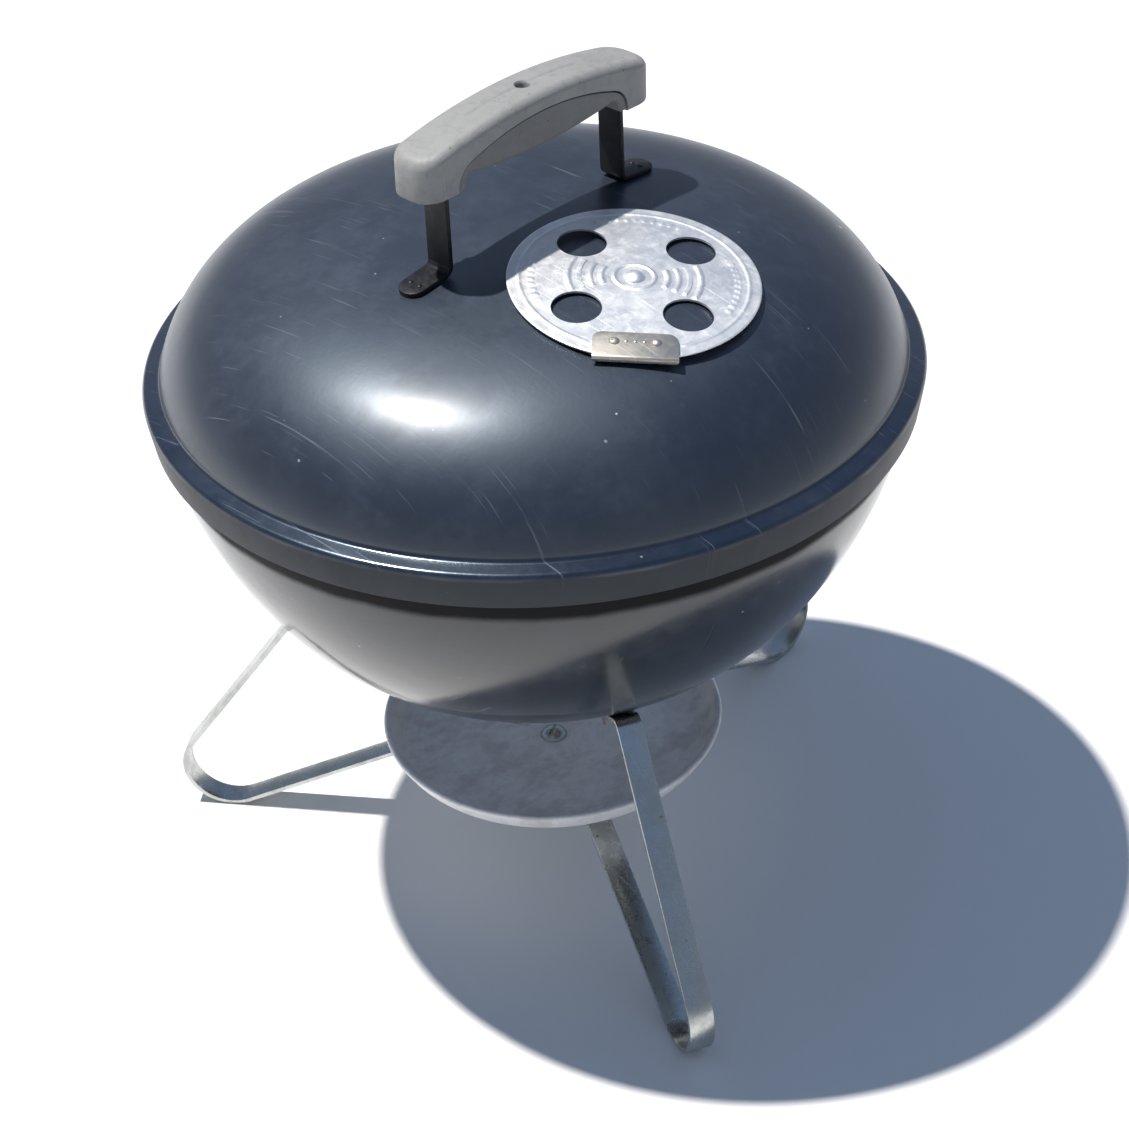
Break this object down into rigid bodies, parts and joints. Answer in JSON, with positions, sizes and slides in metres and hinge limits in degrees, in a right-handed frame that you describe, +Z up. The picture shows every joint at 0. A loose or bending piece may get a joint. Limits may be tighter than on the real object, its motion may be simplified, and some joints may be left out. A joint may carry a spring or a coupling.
{
  "type": "portable kettle grill",
  "caption": "Portable tabletop kettle grill: domed enamelled lid with arched grip and rotary damper, round bowl, bent strap legs, wire grates and ash pan.",
  "frame": {"origin": "on the floor plane the feet stand on, at the vertical axis of bowl and lid", "axes": "+Z up along the bowl's axis; X along the lid's grip; -Y towards the lid damper"},
  "size_m": [0.3945, 0.372, 0.4281],
  "materials": {
    "enamel": "semi-gloss porcelain enamel",
    "black_strap": "satin black",
    "grip": "fine satin grain",
    "grip_dark": "fine satin grain",
    "zinc_dark": "weathered zinc plate",
    "plated_steel": "bright nickel-zinc plate",
    "damper_alu": "bright rolled, lightly scuffed",
    "tab_steel": "weathered zinc plate",
    "pan_alu": "dull, stained",
    "grate_steel": "bright plated wire",
    "coal_steel": "heat-darkened wire"
  },
  "bodies": {
    "bowl": {"bowl_shell": "enamel", "grate_brackets": "plated_steel", "bowl_damper_washer": "plated_steel", "bowl_damper_rivet": "damper_alu", "leg_right": "plated_steel", "leg_back": "plated_steel", "leg_front": "plated_steel", "leg_bolts": "plated_steel", "leg_nuts": "plated_steel", "ash_pan": "pan_alu", "ash_pan_bolt": "zinc_dark", "ash_pan_washer": "plated_steel", "ash_pan_nut": "plated_steel"},
    "lid": {"lid_shell": "enamel", "handle_strap": "black_strap", "handle_top": "grip", "handle_bottom": "grip_dark", "handle_screw": "zinc_dark", "lid_damper_washer": "plated_steel", "lid_damper_rivet": "damper_alu"},
    "lid_damper": {"lid_damper_disc": "damper_alu", "lid_damper_tab": "tab_steel", "lid_damper_tab_rivets": "damper_alu"},
    "bowl_damper": {"bowl_damper_disc": "pan_alu", "bowl_damper_tab": "pan_alu", "bowl_damper_tab_rivet": "damper_alu"},
    "cooking_grate": {"cooking_grate_ring": "grate_steel", "cooking_grate_bars": "grate_steel"},
    "charcoal_grate": {"charcoal_grate_ring": "coal_steel", "charcoal_grate_bars": "coal_steel"}
  },
  "joints": [
    {"name": "lid_lift", "type": "slide", "parent": "bowl", "child": "lid", "axis": [0, 0, 1], "range_m": [0, 0.2]},
    {"name": "lid_damper_turn", "type": "hinge", "parent": "lid", "child": "lid_damper", "pos_m": [-0.00582, -0.07237, 0.35562], "axis": [-0.0108, -0.1344, 0.9909], "range_deg": [-45, 45]},
    {"name": "bowl_damper_turn", "type": "hinge", "parent": "bowl", "child": "bowl_damper", "pos_m": [0, 0, 0.1237], "axis": [0, 0, 1], "range_deg": [-45, 45]},
    {"name": "cooking_grate_lift", "type": "slide", "parent": "bowl", "child": "cooking_grate", "axis": [0, 0, 1], "range_m": [0, 0.014]},
    {"name": "charcoal_grate_lift", "type": "slide", "parent": "bowl", "child": "charcoal_grate", "axis": [0, 0, 1], "range_m": [0, 0.06]}
  ]
}
